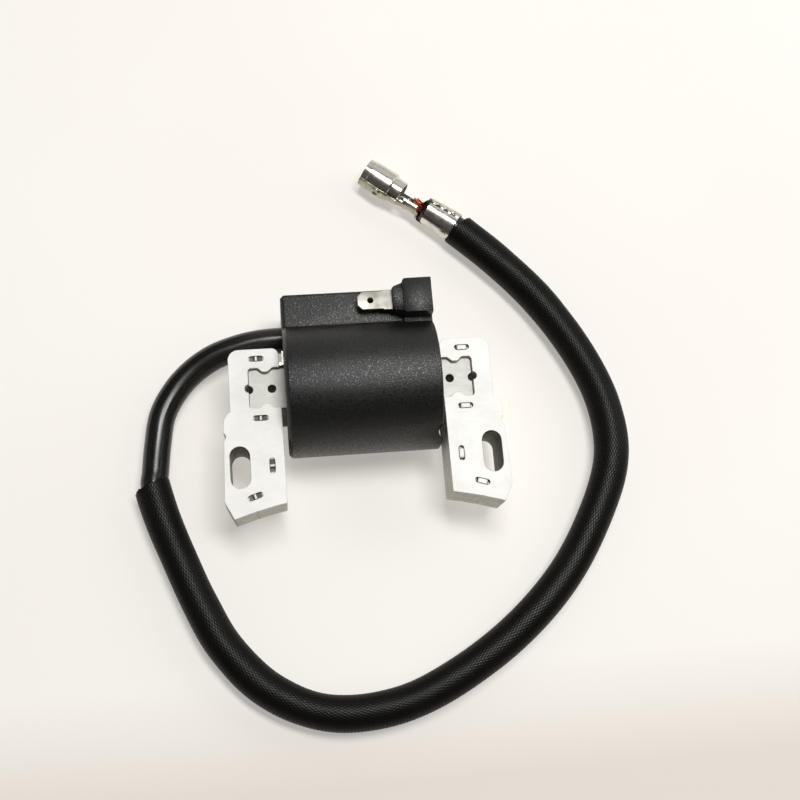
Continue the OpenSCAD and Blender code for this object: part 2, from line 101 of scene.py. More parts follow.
# The lead's route, from the bottom of its socket to the crimp
ROUTE = (
    (-9, 20.4, 6.2), (-13.2, 20.4, 6.2), (-19.4, 20.4, 6.2), (-26, 20.1, 6), (-32, 19, 5.6),
    (-38, 17, 5), (-43.5, 13.6, 4.3), (-48.2, 8.8, 3.9), (-51.8, 2.5, 3.8), (-53.3, -5, 3.9),
    (-54.2, -13, 4.3), (-54.5, -17, 4.8), (-52.4, -26, 4.8), (-49.1, -35.2, 4.8), (-44.3, -47.2, 4.8),
    (-38.3, -58.9, 4.8), (-28.5, -69.8, 4.8), (-15.5, -76.5, 4.8), (-1, -77.4, 4.8),
    (14, -73.5, 4.8), (32.6, -63.2, 4.8), (47.8, -50.2, 4.8), (58.6, -35.6, 4.8),
    (66.5, -18.6, 4.8), (66.8, -3.6, 4.8), (61.9, 11.4, 4.8), (52.5, 27.6, 4.8),
    (41.6, 40.5, 4.8), (31, 50.7, 4.8), (22.7, 57, 4.8),
)
LEAD_EXIT = (-19.4, 20.4, 6.2)
SLEEVE_FIRST = 11
SLEEVE_LAST = 28

# ---------------- camera, floor and light

camera = bpy.data.cameras.new("camera")
camera.lens = 52.0
camera.sensor_width = 36.0
camera.clip_start = 0.01
camera.clip_end = 20
camera_object = bpy.data.objects.new("camera", camera)
bpy.context.collection.objects.link(camera_object)
camera_object.location = (-0.02204, -0.06973, 0.30492)
camera_object.rotation_euler = [math.radians(a) for a in (13.915, -5.122, -4.873)]
bpy.context.scene.camera = camera_object
bpy.context.scene.view_settings.view_transform = "Standard"


def area_light(name, at, size, power, colour):
    """A lamp that faces the part's origin."""
    light = bpy.data.lights.new(name, "AREA")
    light.shape = "RECTANGLE"
    light.size, light.size_y = size
    light.energy = power
    light.color = colour
    lamp = bpy.data.objects.new(name, light)
    bpy.context.collection.objects.link(lamp)
    lamp.location = at
    lamp.visible_camera = False
    lamp.rotation_euler = (-Vector(at)).to_track_quat("-Z", "Y").to_euler()


area_light("key_light", (0.10, 0.125, 0.75), (0.42, 0.16), 4.4, (1.0, 0.995, 0.985))
area_light("right_light", (0.72, 0.16, 0.40), (0.30, 0.50), 1.1, (1.0, 0.99, 0.97))
area_light("back_light", (0.40, 0.85, 0.50), (1.6, 0.9), 2.8, (1.0, 0.99, 0.97))
area_light("front_light", (0.10, -0.85, 0.10), (1.6, 0.2), 0.3, (1.0, 0.985, 0.95))
area_light("left_light", (-0.70, 0.05, 0.42), (0.30, 0.50), 0.3, (1.0, 0.985, 0.96))

world = bpy.data.worlds.new("room")
bpy.context.scene.world = world
world.use_nodes = True
world.node_tree.nodes["Background"].inputs["Color"].default_value = (1.0, 0.95, 0.89, 1)
world.node_tree.nodes["Background"].inputs["Strength"].default_value = 0.08

# ---------------- materials


class Paint:
    """A material on a principled shader, with helpers for its procedural nodes."""

    def __init__(self, name, colour, roughness, metallic=0.0, **even):
        self.material = bpy.data.materials.new(name)
        self.material.use_nodes = True
        self.tree = self.material.node_tree
        self.shader = self.tree.nodes["Principled BSDF"]
        self.shader.inputs["Base Color"].default_value = (*colour, 1)
        self.shader.inputs["Roughness"].default_value = roughness
        self.shader.inputs["Metallic"].default_value = metallic
        for socket, value in even.items():
            self.shader.inputs[socket.replace("_", " ")].default_value = value

    def node(self, kind, settings=None, **inputs):
        """A node of a kind, with attributes from settings and values or links on its inputs."""
        made = self.tree.nodes.new("ShaderNode" + kind)
        for key, value in (settings or {}).items():
            setattr(made, key, value)
        for key, value in inputs.items():
            slot = made.inputs[int(key[1:])] if key[0] == "i" and key[1:].isdigit() else made.inputs[key]
            if isinstance(value, bpy.types.NodeSocket):
                self.tree.links.new(value, slot)
            else:
                slot.default_value = value
        return made

    def math(self, how, a, b=0.0, c=0.0):
        return self.node("Math", {"operation": how}, i0=a, i1=b, i2=c).outputs[0]

    def place(self, scale=(1, 1, 1)):
        """Coordinates in the row's frame, in millimetres, times scale."""
        where = self.node("TexCoord").outputs["Object"]
        size = [s / MM for s in scale]
        return self.node("VectorMath", {"operation": "MULTIPLY"}, i0=where, i1=size).outputs[0]

    def noise(self, scale=(1, 1, 1), detail=3.0, rough=0.55, where=None):
        at = where if where is not None else self.place(scale)
        made = self.node("TexNoise", None, Vector=at, Scale=1.0, Detail=detail, Roughness=rough)
        return made.outputs["Fac"]

    def ramp(self, value, *stops):
        """A colour ramp through (position, colour) stops."""
        made = self.node("ValToRGB", None, Fac=value)
        bar = made.color_ramp.elements
        while len(bar) < len(stops):
            bar.new(0.5)
        for element, (at, colour) in zip(bar, stops):
            element.position = at
            element.color = (*colour, 1)
        return made.outputs["Color"]

    def span(self, value, low, high, to_low, to_high):
        made = self.node("MapRange", None, Value=value)
        for key, number in zip(("From Min", "From Max", "To Min", "To Max"), (low, high, to_low, to_high)):
            made.inputs[key].default_value = number
        return made.outputs["Result"]

    def mix(self, share, a, b):
        made = self.node("Mix", {"data_type": "RGBA"})
        for slot, value in ((0, share), (6, a), (7, b)):
            if isinstance(value, bpy.types.NodeSocket):
                self.tree.links.new(value, made.inputs[slot])
            else:
                made.inputs[slot].default_value = value if slot == 0 else (*value, 1)
        return made.outputs[2]

    def set(self, socket, value):
        self.tree.links.new(value, self.shader.inputs[socket])

    def bump(self, height, depth_mm, strength=1.0):
        made = self.node("Bump", None, Height=height)
        made.inputs["Strength"].default_value = strength
        made.inputs["Distance"].default_value = depth_mm * MM
        self.set("Normal", made.outputs["Normal"])

    def up(self):
        """The upward part of the surface's own normal."""
        return self.node("SeparateXYZ", None, i0=self.node("NewGeometry").outputs["Normal"]).outputs[2]


def steel(name, face, face_rough, cut):
    """Punched electrical steel: satin faces, and cut edges streaked plate by plate."""
    paint = Paint(name, face, face_rough, 0.3)
    facing = paint.span(paint.math("ABSOLUTE", paint.up()), 0.9, 0.985, 0.0, 1.0)
    grain = paint.noise((0.5, 9, 9), 3.0)
    patch = paint.noise((0.12, 0.16, 0.2), 2.0)
    bright = [min(1.0, c * 1.05) for c in face]
    dull = [c * 0.9 for c in face]
    flat = paint.ramp(paint.math("MULTIPLY_ADD", grain, 0.5, paint.math("MULTIPLY", patch, 0.5)),
                      (0.3, dull), (0.62, bright))
    layers = paint.noise((0.4, 0.4, 1.33 * 2), 2.0)
    smear = paint.noise((2.6, 2.6, 0.5), 3.0)
    dark = [c * 0.62 for c in cut]
    edge = paint.ramp(paint.math("MULTIPLY_ADD", layers, 0.6, paint.math("MULTIPLY", smear, 0.4)),
                      (0.32, dark), (0.66, cut))
    paint.set("Base Color", paint.mix(facing, edge, flat))
    paint.set("Roughness", paint.span(grain, 0.3, 0.7, face_rough - 0.07, face_rough + 0.1))
    paint.bump(grain, 0.012, 0.5)
    return paint.material


def moulded(name, colour, roughness, pit=0.28, depth=0.05, sparkle=0.0):
    """Moulded plastic with a spark-eroded texture. sparkle is the share of glossy grains."""
    paint = Paint(name, colour, roughness)
    size = 1 / pit
    grains = paint.node("TexVoronoi", None, Vector=paint.place((size, size, size)), Scale=1.0)
    one_grain = paint.node("SeparateColor", None, i0=grains.outputs["Color"]).outputs[0]
    fine = paint.noise((size * 2.7,) * 3, 1.0)
    cloud = paint.noise((0.11, 0.11, 0.11), 3.0)
    light = [c * 1.5 for c in colour]
    dark = [c * 0.72 for c in colour]
    paint.set("Base Color", paint.ramp(cloud, (0.3, dark), (0.7, light)))
    matt = paint.span(fine, 0.36, 0.6, roughness + 0.04, roughness - 0.04)
    if sparkle:
        matt = paint.math("SUBTRACT", matt, paint.span(one_grain, 0.6, 0.9, 0.0, sparkle))
    paint.set("Roughness", matt)
    height = paint.math("MULTIPLY_ADD", grains.outputs["Distance"], 0.8, paint.math("MULTIPLY", fine, 0.2))
    paint.bump(height, depth, 1.0)
    return paint.material


def plated(name, colour, roughness, smudge=(0.5, 0.5, 0.5), tint=0.8):
    """Plated sheet metal with faint smudges and fine scratches."""
    paint = Paint(name, colour, roughness, 1.0)
    cloud = paint.noise(smudge, 4.0)
    scratch = paint.noise((0.7, 14, 14), 2.0)
    worn = [c * tint for c in colour]
    paint.set("Base Color", paint.ramp(cloud, (0.34, worn), (0.62, colour)))
    paint.set("Roughness", paint.span(cloud, 0.3, 0.7, roughness * 1.6, roughness * 0.8))
    paint.bump(scratch, 0.006, 0.5)
    return paint.material


def wound(name, colour, pitch):
    """Enamelled wire wound in close turns along X."""
    paint = Paint(name, colour, 0.28, 0.85)
    spot = paint.node("SeparateXYZ", None, i0=paint.place()).outputs[0]
    turn = paint.math("SINE", paint.math("MULTIPLY", spot, 2 * math.pi / pitch))
    patch = paint.noise((0.4, 0.4, 0.4), 3.0)
    # The colour darkens in the grooves between turns, where the bump is low: painted shade.
    dark = [c * 0.45 for c in colour]
    tone = paint.math("MULTIPLY_ADD", turn, 0.22, patch)
    paint.set("Base Color", paint.ramp(tone, (0.25, dark), (0.75, colour)))
    paint.bump(turn, pitch * 0.25, 0.8)
    return paint.material


LEG_STEEL = steel("punched_steel", (0.80, 0.795, 0.77), 0.6, (0.86, 0.83, 0.74))
# A darker copy of the leg steel: painted shade for the slot's walls and the interlocks' sloping faces.
HOLE_SHADE_STEEL = steel("punched_hole_painted_shade", (0.62, 0.61, 0.58), 0.6, (0.30, 0.285, 0.24))
BAR_STEEL = steel("bar_steel", (0.50, 0.495, 0.46), 0.5, (0.26, 0.25, 0.22))
CASE = moulded("case_plastic", (0.0038, 0.0042, 0.0037), 0.46, 0.27, 0.06, 0.22)
RESIN = moulded("potting_resin", (0.02, 0.017, 0.014), 0.24, 1.6, 0.04)
BOBBIN = moulded("bobbin_plastic", (0.012, 0.012, 0.013), 0.5, 0.5, 0.02)
TIN = plated("tinned_blade", (0.385, 0.372, 0.33), 0.44, (0.14, 0.14, 0.14), 0.9)
NICKEL = plated("nickel_plate", (0.74, 0.705, 0.64), 0.2, (0.35, 0.35, 0.35), 0.8)
SPRING = plated("spring_plate", (0.46, 0.44, 0.34), 0.26)
BRASS = plated("contact_brass", (0.78, 0.56, 0.22), 0.25)
COPPER = plated("copper_strand", (0.52, 0.11, 0.05), 0.34, (1.5, 1.5, 1.5), 0.4)

# ---------------- mesh helpers


def keep(obj, material, replaced=(), smooth=True):
    """Finish a piece: its material, the nodes it stands for, and its body."""
    obj.data.materials.clear()
    obj.data.materials.append(material)
    if smooth and obj.type == "MESH":
        obj.data.shade_smooth()
    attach(obj, BODY)
    if replaced:
        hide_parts(*replaced)
    return obj


def mesh_object(name, bm, at=(0, 0, 0), turn=None):
    """A new object from a bmesh in millimetres, moved by at and turned about it."""
    bmesh.ops.recalc_face_normals(bm, faces=bm.faces)
    if bm.calc_volume(signed=True) < 0:
        bmesh.ops.reverse_faces(bm, faces=bm.faces)
    if turn is not None:
        bm.transform(turn)
    bm.transform(Matrix.Translation(Vector(at)))
    bm.transform(Matrix.Scale(MM, 4))
    mesh = bpy.data.meshes.new(name)
    bm.to_mesh(mesh)
    bm.free()
    obj = bpy.data.objects.new(name, mesh)
    bpy.context.collection.objects.link(obj)
    return obj


def applied(obj):
    """The object with its modifiers made into its mesh."""
    depsgraph = bpy.context.evaluated_depsgraph_get()
    mesh = bpy.data.meshes.new_from_object(obj.evaluated_get(depsgraph))
    old = obj.data
    obj.modifiers.clear()
    obj.data = mesh
    bpy.data.meshes.remove(old)
    return obj


def joined(name, objects):
    """One object out of several meshes."""
    bm = bmesh.new()
    for obj in objects:
        bm.from_mesh(obj.data)
        bpy.data.objects.remove(obj)
    mesh = bpy.data.meshes.new(name)
    bm.to_mesh(mesh)
    bm.free()
    made = bpy.data.objects.new(name, mesh)
    bpy.context.collection.objects.link(made)
    return made


def plate_bmesh(loops, low, high, edge=0.04, steps=1):
    """A flat plate in millimetres, from outline loops with holes, with rounded edges."""
    curve = bpy.data.curves.new("outline", "CURVE")
    curve.dimensions = "2D"
    curve.fill_mode = "BOTH"
    for loop in loops:
        spline = curve.splines.new("POLY")
        spline.points.add(len(loop) - 1)
        for point, (x, y) in zip(spline.points, loop):
            point.co = (x, y, 0, 1)
        spline.use_cyclic_u = True
    curve.extrude = (high - low) / 2 - edge
    curve.bevel_depth = edge
    curve.bevel_resolution = steps
    curve.offset = -edge
    obj = bpy.data.objects.new("outline", curve)
    bpy.context.collection.objects.link(obj)
    depsgraph = bpy.context.evaluated_depsgraph_get()
    mesh = bpy.data.meshes.new_from_object(obj.evaluated_get(depsgraph))
    bm = bmesh.new()
    bm.from_mesh(mesh)
    bmesh.ops.remove_doubles(bm, verts=bm.verts, dist=0.002)
    bm.transform(Matrix.Translation((0, 0, (low + high) / 2)))
    bpy.data.objects.remove(obj)
    bpy.data.curves.remove(curve)
    bpy.data.meshes.remove(mesh)
    return bm


def merge(target, source):
    """Adds a bmesh to another, and frees it."""
    mesh = bpy.data.meshes.new("merge")
    source.to_mesh(mesh)
    source.free()
    target.from_mesh(mesh)
    bpy.data.meshes.remove(mesh)


def arc(centre, r, start, end, steps):
    """Points on an arc, in degrees."""
    return [(centre[0] + r * math.cos(math.radians(start + (end - start) * i / steps)),
             centre[1] + r * math.sin(math.radians(start + (end - start) * i / steps)))
            for i in range(steps + 1)]


def circle(centre, r, steps=28):
    return arc(centre, r, 0, 360, steps)[:-1]


def slot_loop(centre, length, width, angle=0.0, steps=12):
    """Outline of a slot with round ends."""
    half = (length - width) / 2
    points = arc((half, 0), width / 2, -90, 90, steps) + arc((-half, 0), width / 2, 90, 270, steps)
    turn = math.radians(angle)
    return [(centre[0] + x * math.cos(turn) - y * math.sin(turn),
             centre[1] + x * math.sin(turn) + y * math.cos(turn)) for x, y in points]


def ease(t):
    """A smooth step from 0 to 1."""
    return t * t * (3 - 2 * t)


def bridge(bm, rings):
    """Faces from each closed ring of vertices to the next."""
    for p, q in zip(rings, rings[1:]):
        for k in range(len(p)):
            n = (k + 1) % len(p)
            bm.faces.new((p[k], p[n], q[n], q[k]))


def distances(points):
    """How far along a line each of its points is."""
    made = [0.0]
    for p, q in zip(points, points[1:]):
        made.append(made[-1] + (q - p).length)
    return made


# ---------------- routes and tubes


def smooth_route(points, step):
    """Points every step along a smooth curve through the given ones."""
    points = [Vector(p) for p in points]
    ends = [2 * points[0] - points[1]] + points + [2 * points[-1] - points[-2]]
    dense = []
    for a, b, c, d in zip(ends, ends[1:], ends[2:], ends[3:]):
        for i in range(24):
            t = i / 24
            dense.append(0.5 * (2 * b + (c - a) * t + (2 * a - 5 * b + 4 * c - d) * t * t
                                + (3 * b - a - 3 * c + d) * t ** 3))
    dense.append(points[-1])
    lengths = distances(dense)
    count = max(2, round(lengths[-1] / step))
    made, k = [], 0
    for i in range(count + 1):
        want = lengths[-1] * i / count
        while k < len(dense) - 2 and lengths[k + 1] < want:
            k += 1
        gap = lengths[k + 1] - lengths[k]
        made.append(dense[k].lerp(dense[k + 1], (want - lengths[k]) / gap if gap else 0))
    return made


def route_length(points):
    return sum((q - p).length for p, q in zip(points, points[1:]))


def frames_along(points):
    """(direction, side, up) at each point, with up as near to +Z as it goes."""
    made = []
    for i in range(len(points)):
        ahead = (points[min(i + 1, len(points) - 1)] - points[max(i - 1, 0)]).normalized()
        side = Vector((0, 0, 1)).cross(ahead)
        side = side.normalized() if side.length > 1e-4 else Vector((1, 0, 0))
        made.append((ahead, side, ahead.cross(side)))
    return made


def off_line(p, frame_at, angle, r):
    """The point at radius r and an angle in radians round a point of a line."""
    _, side, up = frame_at
    return p + r * (math.cos(angle) * side + math.sin(angle) * up)


def tube_bmesh(points, radius, around, closed=True):
    """A tube along points. Its UV map has turns round in U and millimetres along in V."""
    bm = bmesh.new()
    uv = bm.loops.layers.uv.new("UVMap")
    frames = frames_along(points)
    rings = []
    turns = [2 * math.pi * k / around for k in range(around)]
    for p, at in zip(points, frames):
        rings.append([bm.verts.new(off_line(p, at, a, radius)) for a in turns])
    along = distances(points)
    for i in range(len(rings) - 1):
        for k in range(around):
            n = (k + 1) % around
            face = bm.faces.new((rings[i][k], rings[i][n], rings[i + 1][n], rings[i + 1][k]))
            corner = ((k, i), (k + 1, i), (k + 1, i + 1), (k, i + 1))
            for loop, (u, v) in zip(face.loops, corner):
                loop[uv].uv = (u / around, along[v])
    if closed:
        bm.faces.new(rings[0][::-1])
        bm.faces.new(rings[-1])
    return bm


# ---------------- high-tension lead

lead_line = smooth_route(ROUTE, 1.2)


def rubber():
    paint = Paint("lead_rubber", (0.008, 0.008, 0.008), 0.34)
    uv = paint.node("TexCoord").outputs["UV"]
    drawn = paint.node("VectorMath", {"operation": "MULTIPLY"}, i0=uv, i1=(60.0, 0.12, 1.0)).outputs[0]
    streak = paint.noise(where=drawn, detail=3.0)
    dust = paint.noise((0.8, 0.8, 0.8), 4.0)
    clean, dusty = (0.003, 0.003, 0.003), (0.007, 0.0068, 0.0062)
    paint.set("Base Color", paint.ramp(dust, (0.35, clean), (0.75, dusty)))
    paint.set("Roughness", paint.span(streak, 0.3, 0.7, 0.2, 0.34))
    paint.bump(streak, 0.02, 0.4)
    return paint.material


def braid(turns, cell):
    """Black varnished braid: yarns over and under each other, on the tube's UV map."""
    paint = Paint("braid_fibre", (0.003, 0.003, 0.0027), 0.34, Specular_IOR_Level=0.15)
    uv = paint.node("SeparateXYZ", None, i0=paint.node("TexCoord").outputs["UV"])
    u = paint.math("MULTIPLY", uv.outputs[0], float(turns))
    v = paint.math("DIVIDE", uv.outputs[1], cell * 2)
    a = paint.math("ADD", u, v)
    b = paint.math("SUBTRACT", u, v)

    def yarn(across, along, phase):
        """Height of a yarn: round across, and passing over and under along it."""
        part = paint.math("FRACT", across)
        number = paint.math("FLOOR", across)
        crown = paint.math("SINE", paint.math("MULTIPLY", part, math.pi))
        swing = paint.math("MULTIPLY", paint.math("ADD", along, paint.math("ADD", number, phase)), math.pi)
        return paint.math("MULTIPLY_ADD", paint.math("SINE", swing), 0.42, crown)

    weave = paint.math("MAXIMUM", yarn(a, b, 0.0), yarn(b, a, 1.0))
    fibre = paint.noise(where=paint.node("VectorMath", {"operation": "MULTIPLY"},
                                         i0=paint.node("TexCoord").outputs["UV"],
                                         i1=(turns * 9.0, 1.2, 1.0)).outputs[0], detail=2.0)
    worn = paint.noise((0.09, 0.09, 0.09), 3.0)
    # The colour darkens in the gaps between yarns, following the weave's height: painted shade, with
    # random wear mixed in.
    tone = paint.math("MULTIPLY_ADD", worn, 0.4, paint.math("MULTIPLY", weave, 0.4))
    deep, worn_and_lit_crown = (0.0008, 0.0008, 0.0008), (0.005, 0.0046, 0.0038)
    paint.set("Base Color", paint.ramp(tone, (0.35, deep), (0.8, worn_and_lit_crown)))
    crown = paint.span(weave, 0.75, 1.3, 0.5, 0.14)
    paint.set("Roughness", paint.math("MULTIPLY_ADD", fibre, 0.16, crown))
    paint.bump(fibre, 0.02, 0.8)
    return paint.material


RUBBER = rubber()
BRAID_TURNS = 36
BRAID_CELL = 0.82
BRAID = braid(BRAID_TURNS, BRAID_CELL)

BORE_R = CONDUCTOR_D / 2 + 0.1


def lead_bmesh():
    """The lead's rubber, bored at both ends for the conductor and the contact's spike."""
    around = 40
    bm = tube_bmesh(lead_line, LEAD_D / 2, around, closed=False)
    skin = list(bm.verts)
    frames = frames_along(lead_line)
    last = len(lead_line) - 1
    for end, deep in ((0, 4), (last, last - 2)):
        rim = [skin[end * around + k] for k in range(around)]
        rings = [rim]
        for i, r in ((end, LEAD_D / 2 - 0.25), (end, BORE_R), (deep, BORE_R)):
            rings.append([bm.verts.new(off_line(lead_line[i], frames[i], 2 * math.pi * k / around, r))
                          for k in range(around)])
        bridge(bm, rings)
        bm.faces.new(rings[-1])
    return bm


lead = mesh_object("high_tension_lead", lead_bmesh())
keep(lead, RUBBER, ("hv_lead",))

# The sleeve's own line. Its mouth is cut at a slant and sits to one side of the lead.
SLEEVE_MOUTH = 7.0
SLEEVE_TAIL = 2.2
SLEEVE_FLOOR = 4.72
SLANT_RINGS = 34
sleeve_line = smooth_route(ROUTE[SLEEVE_FIRST:SLEEVE_LAST + 1], BRAID_CELL / 3.5)


def yarn_height(across, along):
    """A yarn that is round across itself and passes over and under the others."""
    number = math.floor(across)
    return math.sin(math.pi * (across - number)) + 0.42 * math.sin(math.pi * (along + number))


def braid_height(s, a):
    """Height of the braid at s millimetres along and a radians round, from 0 to about 1."""
    u = BRAID_TURNS * a / (2 * math.pi)
    v = s / (2 * BRAID_CELL)
    return max(yarn_height(u + v, u - v), yarn_height(u - v, u + v + 1)) / 1.42


def sleeve_bmesh():
    """Braided tube with an outer and an inner wall, a slanted mouth to one side and a cut far end."""
    around = BRAID_TURNS * 4
    line = sleeve_line
    frames = frames_along(line)
    total = route_length(line)
    along = distances(line)
    bm = bmesh.new()
    uv = bm.loops.layers.uv.new("UVMap")
    ripple = [rng.uniform(-1, 1) for _ in range(64)]

    def wave(s, a):
        """Slow unevenness of the sleeve, in millimetres."""
        k = s / 9.0
        i = int(k) % 60
        t = ease(k - int(k))
        base = ripple[i] * (1 - t) + ripple[i + 1] * t
        twist = ripple[i + 2] * (1 - t) + ripple[i + 3] * t
        return 0.09 * base + 0.09 * twist * math.cos(2 * a + s / 17)

    outer, inner = [], []
    for i in range(len(line)):
        s = along[i]
        mouth = math.exp(-(s / SLEEVE_MOUTH) ** 2)
        tail = math.exp(-((total - s) / SLEEVE_TAIL) ** 2)
        ring_out, ring_in = [], []
        for k in range(around):
            a = 2 * math.pi * k / around
            flare = mouth * (0.12 - 0.5 * math.cos(a))
            r_out = SLEEVE_D / 2 - 0.14 + wave(s, a) + flare + 0.1 * tail
            r_in = r_out - (SLEEVE_D - SLEEVE_BORE) / 2 + 0.12
            r_out += 0.15 * braid_height(s, a) - 0.1
            if math.sin(a) < 0:
                r_out = min(r_out, SLEEVE_FLOOR / max(0.2, -math.sin(a)))
                r_in = min(r_in, r_out - 0.35)
            ring_out.append(off_line(line[i], frames[i], a, r_out))
            ring_in.append(off_line(line[i], frames[i], a, max(r_in, LEAD_D / 2 + 0.06)))
        outer.append(ring_out)
        inner.append(ring_in)

    def slant(ring_list, first):
        """Cut the first or last few rings on a slant by sliding them along the line."""
        for j in range(SLANT_RINGS):
            i = j if first else len(line) - 1 - j
            ahead = frames[i][0]
            fade = 1 - j / SLANT_RINGS
            for k in range(around):
                a = 2 * math.pi * k / around
                jag = 0.16 * math.sin(9 * a + 1.3) + 0.1 * math.sin(23 * a)
                if first:
                    move = 0.9 * -math.cos(a) - 0.6 * math.sin(a) - 0.3 + jag
                else:
                    move = -(0.55 + 0.75 * -math.cos(a)) + jag * 0.6
                ring_list[i][k] = ring_list[i][k] + ahead * (move * fade)

    for first in (True, False):
        slant(outer, first)
        slant(inner, first)
    near = SLANT_RINGS + 2
    far = len(line) - near
    kept = sorted({*range(0, near, 2), *range(near, far, 9), *range(far, len(line), 2), len(line) - 1})
    rows = outer + [inner[i] for i in kept[::-1]]
    marks = along + [along[i] - 0.6 for i in kept[::-1]]
    verts = [[bm.verts.new(p) for p in ring] for ring in rows]
    count = len(rows)
    for i in range(count):
        j = (i + 1) % count
        for k in range(around):
            n = (k + 1) % around
            face = bm.faces.new((verts[i][k], verts[i][n], verts[j][n], verts[j][k]))
            corner = ((k, i), (k + 1, i), (k + 1, j), (k, j))
            for loop, (u, v) in zip(face.loops, corner):
                loop[uv].uv = (u / around, marks[v])
    return bm


sleeve = mesh_object("braided_sleeve_weave", sleeve_bmesh())
keep(sleeve, BRAID, ("braided_sleeve",))

# ---------------- laminated core


def bar_edge(grow):
    """Upper edge of the bar, from its middle to the corner of its end."""
    points = []
    for i in range(17):
        x = DIP_X + DIP_HALF * (i / 8 - 1)
        dip = DIP_DEPTH * math.sin(math.pi / 4 * (1 + math.cos(math.pi * (x - DIP_X) / DIP_HALF)))
        points.append((x, BAR_W / 2 + grow - dip))
    corner = 0.9
    points += arc((BAR_HALF + grow - corner, BAR_W / 2 + grow - corner), corner, 90, 0, 6)
    return points


def pole_y(x):
    """The pole arc, which follows the flywheel."""
    return FLYWHEEL_Y + math.sqrt(FLYWHEEL_R ** 2 - x * x)


def leg_loop():
    """Outline of a leg's plate, right-hand side, round its pocket and half of the rivet hole."""
    gap = 0.06
    edge = bar_edge(gap)
    lower = [(x, -y) for x, y in edge[::-1]]
    loop = [(LEG_IN, BAR_W / 2 + gap)] + edge
    rivet = math.degrees(math.acos(gap / RIVET_R))
    loop += arc((BAR_HALF, 0), RIVET_R, rivet, -rivet, 14)
    loop += lower + [(LEG_IN, -BAR_W / 2 - gap)]
    slope = (TOE[1] - FOOT[1]) / (TOE[0] - FOOT[0])
    tip_x = FOOT[0]
    for _ in range(40):
        tip_x -= 0.5 * ((FOOT[1] + slope * (tip_x - FOOT[0])) - pole_y(tip_x)) / slope
    steps = 12
    for i in range(steps + 1):
        x = LEG_IN + (tip_x - LEG_IN) * i / steps
        y = pole_y(x)
        if i == 7:
            loop += [(x - 0.25, pole_y(x - 0.25)), (x - 0.05, y + 0.16), (x + 0.2, pole_y(x + 0.2))]
        else:
            loop.append((x, y))
    loop.append(FOOT)
    rise = (SHOULDER[-1][0] - FOOT[0]) / (SHOULDER[-1][1] - FOOT[1])
    loop += [(x, y) for x, y in arc(EDGE_NOTCH, EDGE_NOTCH_R, -60, -300, 24)
             if x < FOOT[0] + rise * (y - FOOT[1]) - 0.02]
    loop += SHOULDER[::-1]
    loop += arc((LEG_UPPER_X - 2.7, LEG_TOP - 2.7), 2.7, 0, 90, 10)
    loop += arc((LEG_IN + 1.8, LEG_TOP - 1.8), 1.8, 90, 180, 8)
    return loop


def lance_bmesh(at, angle, side, z_top):
    """One interlock: a tongue pressed down into its slot, with its middle left standing."""
    bm = bmesh.new()
    half = LANCE_LEN / 2
    if side < 0:
        xs = [-half, -half + 0.3, -0.95, -0.5, -0.38, -0.2, 0.2, 0.38, 0.5, 0.95, half - 0.3, half]
        zs = [-0.12, -0.2, -0.62, -0.95, -0.1, 0.0, 0.0, -0.1, -0.95, -0.62, -0.2, -0.12]
    else:
        xs = [-half, -half + 0.3, -1.5, -1.2, -0.9, -0.3, 0.3, 0.9, 1.2, 1.5, half - 0.3, half]
        zs = [-1.1, -1.15, -1.2, -0.12, -0.02, 0.02, 0.02, -0.02, -0.12, -1.2, -1.15, -1.1]
    rows = []
    for x, z in zip(xs, zs):
        reach = LANCE_W / 2 - 0.05
        inset = max(0.0, abs(x) - (half - LANCE_W / 2))
        y = math.sqrt(max(0.02, reach * reach - inset * inset))
        rows.append([bm.verts.new((x, -y, z - 0.08)), bm.verts.new((x, -y * 0.8, z)),
                     bm.verts.new((x, y * 0.8, z)), bm.verts.new((x, y, z - 0.08)),
                     bm.verts.new((x, y, -1.4)), bm.verts.new((x, -y, -1.4))])
    bridge(bm, rows)
    bm.faces.new(rows[0][::-1])
    bm.faces.new(rows[-1])
    bmesh.ops.recalc_face_normals(bm, faces=bm.faces)
    bm.transform(Matrix.Rotation(math.radians(angle), 4, "Z"))
    bm.transform(Matrix.Translation((at[0], at[1], z_top)))
    return bm


def stack(name, loops, top_holes, count, total, side, lances):
    """Punched plates one on another, each with its own small slip, as one piece."""
    bm = bmesh.new()
    for i in range(count):
        low = -total / 2 + i * PLATE_T
        on_top = i >= count - 2
        holes = loops + (top_holes if on_top else [])
        plate = plate_bmesh(holes, low + 0.012, low + PLATE_T - 0.012, 0.05 if i < count - 1 else 0.1, 2)
        slip = (rng.uniform(-0.035, 0.035), rng.uniform(-0.035, 0.035), 0)
        plate.transform(Matrix.Translation(slip if i < count - 1 else (0, 0, 0)))
        merge(bm, plate)
    if lances:
        for x, y, angle in LANCES:
            merge(bm, lance_bmesh((x, y), angle, side, total / 2))
    if side < 0:
        bm.transform(Matrix.Scale(-1, 4, (1, 0, 0)))
    return mesh_object(name, bm, AXIS)


def paint_hole_shade(leg):
    """Gives the walls of the slot and the interlocks the second material, a darker copy of the steel that
    is painted shade.
    """
    holes = [(SLOT_AT[0], SLOT_AT[1], SLOT_W / 2, SLOT_LEN / 2)]
    for x, y, angle in LANCES:
        upright = abs(angle) > 45
        reach = (LANCE_W / 2, LANCE_LEN / 2) if upright else (LANCE_LEN / 2, LANCE_LEN / 4)
        holes.append((x, y, *reach))
    margin = 0.15
    for face in leg.data.polygons:
        x, y = abs(face.center.x) / MM, face.center.y / MM - AXIS_Y
        if abs(face.normal.z) < 0.93 and any(abs(x - hx) < rx + margin and abs(y - hy) < ry + margin
                                             for hx, hy, rx, ry in holes):
            face.material_index = 1


